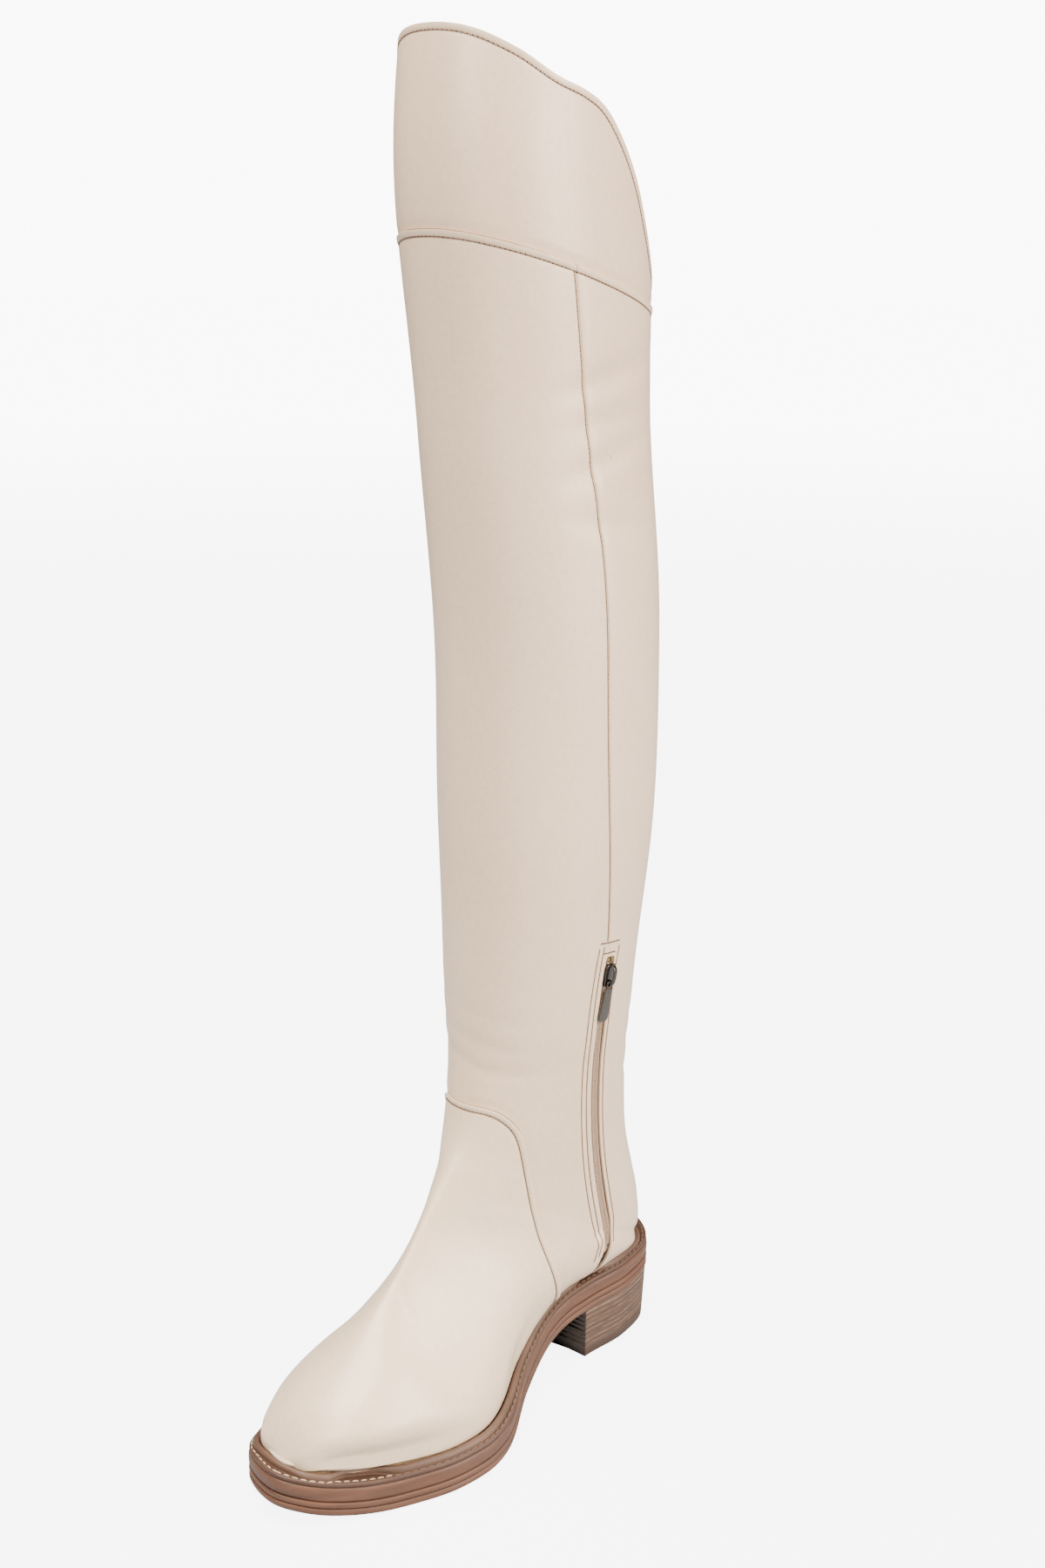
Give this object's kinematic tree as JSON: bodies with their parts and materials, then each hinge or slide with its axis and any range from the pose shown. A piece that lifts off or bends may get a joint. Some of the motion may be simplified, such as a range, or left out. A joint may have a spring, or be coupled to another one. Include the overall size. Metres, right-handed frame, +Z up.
{
  "type": "over-the-knee boot",
  "caption": "Smooth leather over-the-knee boot for the right foot, with a half-length inner zip, a welted sole and a low stacked block heel.",
  "frame": {"origin": "on the ground under the middle of the boot's bounding box", "axes": "+Z up the leg, toe towards -Y, inner (zip) side of the right boot towards +X"},
  "size_m": [0.1084, 0.278, 0.6675],
  "materials": {
    "upper_leather": "smooth satin, off-white beige",
    "lining_leather": "matt, pale beige",
    "stiffener": "stiffened cloth",
    "board": "pressed fibre board",
    "cork": "cork paste",
    "steel": "bare steel",
    "sole_tan": "satin tan sole edge with fine grooves",
    "welt_brown": "satin dark brown",
    "stack_brown": "stacked leather look, fine horizontal lines",
    "top_piece_brown": "matt dark brown",
    "zip_tape": "woven tape",
    "zip_coil": "nylon coil",
    "gunmetal": "polished gunmetal",
    "brass": "satin"
  },
  "bodies": {
    "boot": {"outsole": "sole_tan", "slip_sole": "sole_tan", "midsole": "sole_tan", "welt": "welt_brown", "cork_filler": "cork", "insole_board": "board", "sock_liner": "lining_leather", "shank": "steel", "heel_lift_1": "stack_brown", "heel_lift_2": "stack_brown", "heel_lift_3": "stack_brown", "heel_lift_4": "stack_brown", "heel_lift_5": "stack_brown", "heel_lift_6": "stack_brown", "heel_lift_7": "stack_brown", "heel_top_piece": "top_piece_brown", "heel_nail_1": "steel", "heel_nail_2": "steel", "heel_nail_3": "steel", "heel_nail_4": "steel", "heel_screw": "steel", "top_band": "upper_leather", "vamp": "upper_leather", "back_shaft_panel": "upper_leather", "front_shaft_panel": "upper_leather", "shaft_interlining": "stiffener", "toe_puff": "stiffener", "heel_counter": "stiffener", "shaft_lining": "lining_leather", "foot_lining": "lining_leather", "zip_tape_front": "zip_tape", "zip_tape_rear": "zip_tape", "zip_chain_front": "zip_coil", "zip_chain_rear": "zip_coil", "zip_top_stop_front": "brass", "zip_top_stop_rear": "brass", "zip_bottom_stop": "brass", "zip_guard": "lining_leather"},
    "zip_slider": {"zip_slider": "gunmetal"},
    "zip_puller": {"zip_puller": "gunmetal"}
  },
  "joints": [
    {"name": "zip_travel", "type": "hinge", "parent": "boot", "child": "zip_slider", "pos_m": [0.20304, 0.40812, 0.17544], "axis": [0.8972, -0.4346, -0.0787], "range_deg": [0, 19.5]},
    {"name": "puller_swing", "type": "hinge", "parent": "zip_slider", "child": "zip_puller", "pos_m": [0.04058, 0.06036, 0.22377], "axis": [0.0395, -0.9959, 0.0818], "range_deg": [0, 130]}
  ]
}
